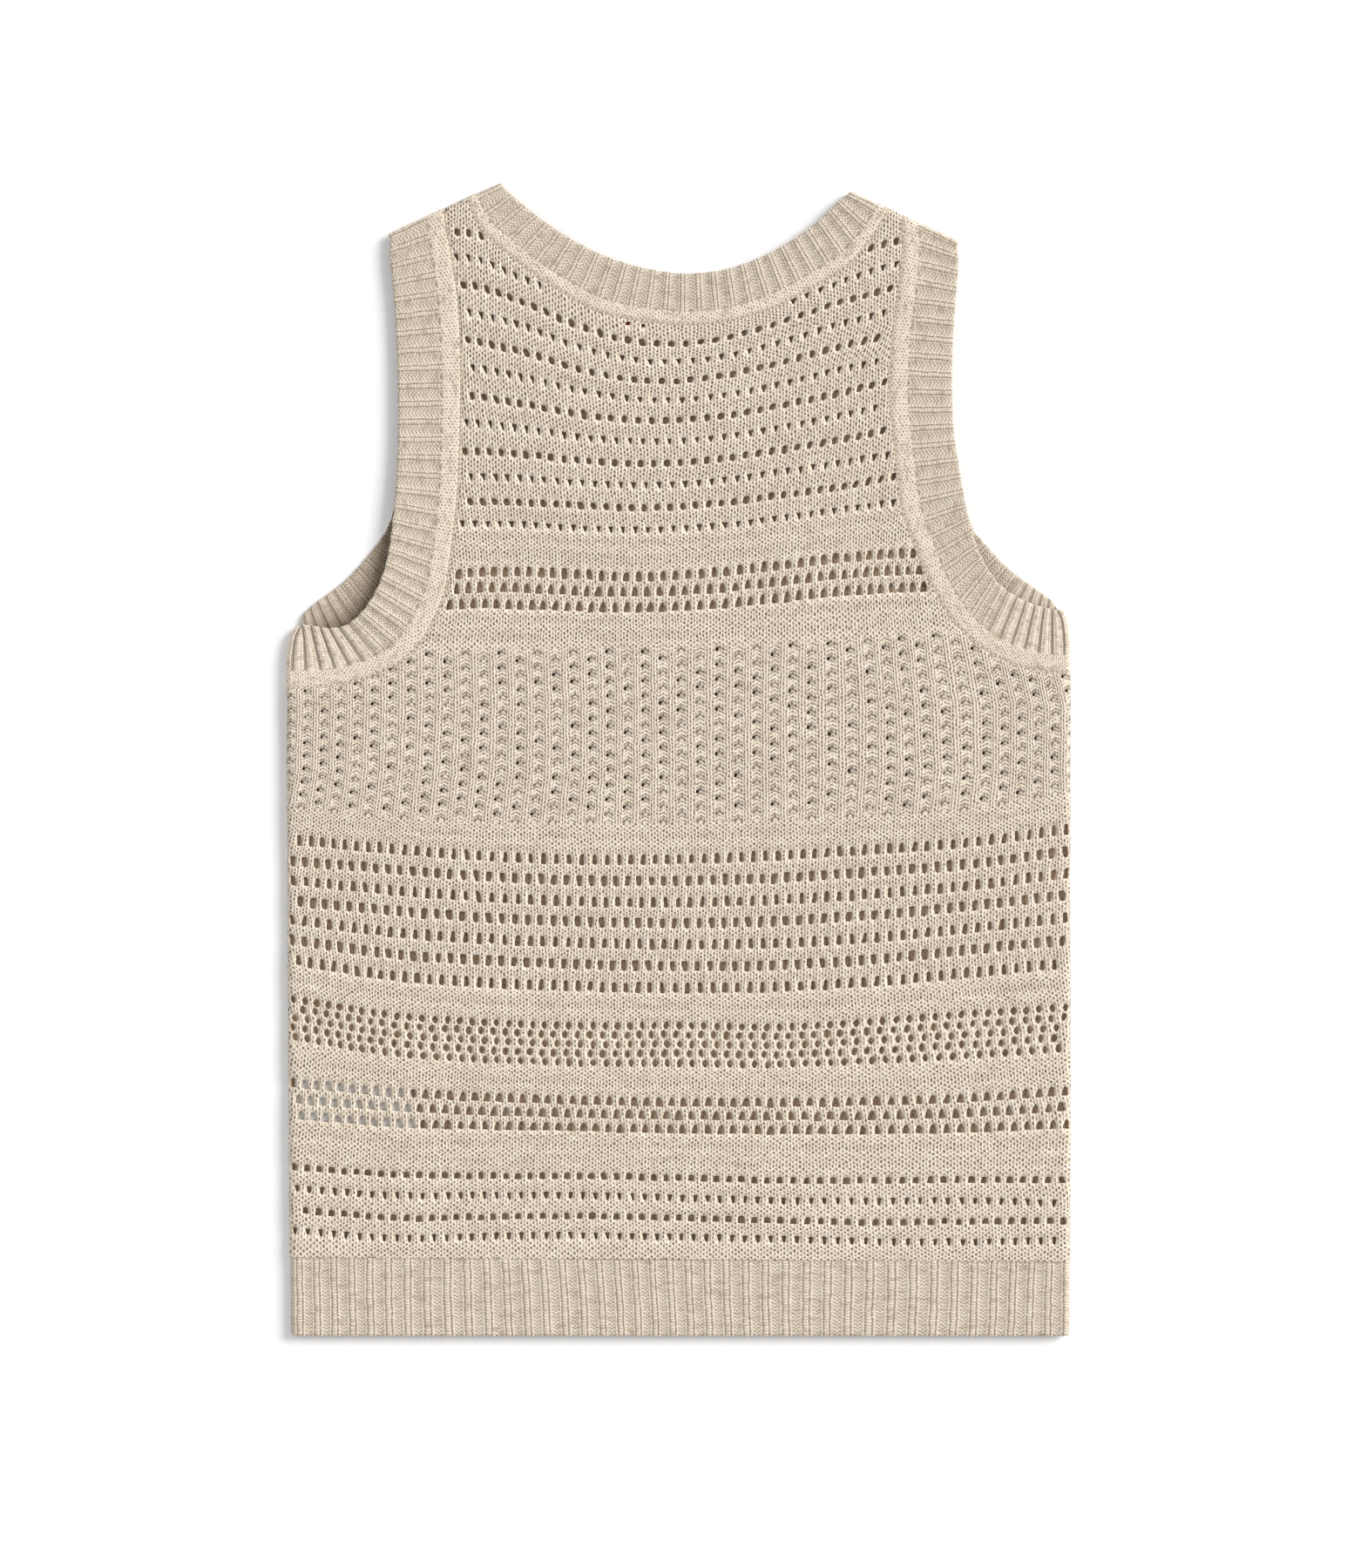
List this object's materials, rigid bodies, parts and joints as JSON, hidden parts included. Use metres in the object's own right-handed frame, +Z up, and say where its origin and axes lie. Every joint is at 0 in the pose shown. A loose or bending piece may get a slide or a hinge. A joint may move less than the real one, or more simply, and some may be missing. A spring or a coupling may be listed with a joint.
{
  "type": "knit tank top laid flat, back up",
  "caption": "Sleeveless openwork knit top laid flat, with ribbed bands at neck and armholes and a ribbed hem; two layers of cloth joined at the sides and shoulders.",
  "frame": {"origin": "under the middle of the outline's box, on the surface that the garment lies on", "axes": "+X to the wearer's right (the garment lies on its front, so this is to the right seen from above), +Y from the hem to the shoulders, +Z up off the surface, out of the back"},
  "size_m": [0.4506, 0.6628, 0.0094],
  "materials": {
    "knit_openwork": "matte marl yarn",
    "knit_rib": "matte marl yarn, ribbed",
    "label_red": "plain woven",
    "label_white": "satin ribbon, bare"
  },
  "bodies": {
    "root": {"back_panel": "knit_openwork", "front_panel": "knit_openwork", "neckband": "knit_rib", "armband_left": "knit_rib", "armband_right": "knit_rib", "back_hem_rib": "knit_rib", "front_hem_rib": "knit_rib", "neck_label": "label_red", "care_label": "label_white"}
  },
  "joints": []
}
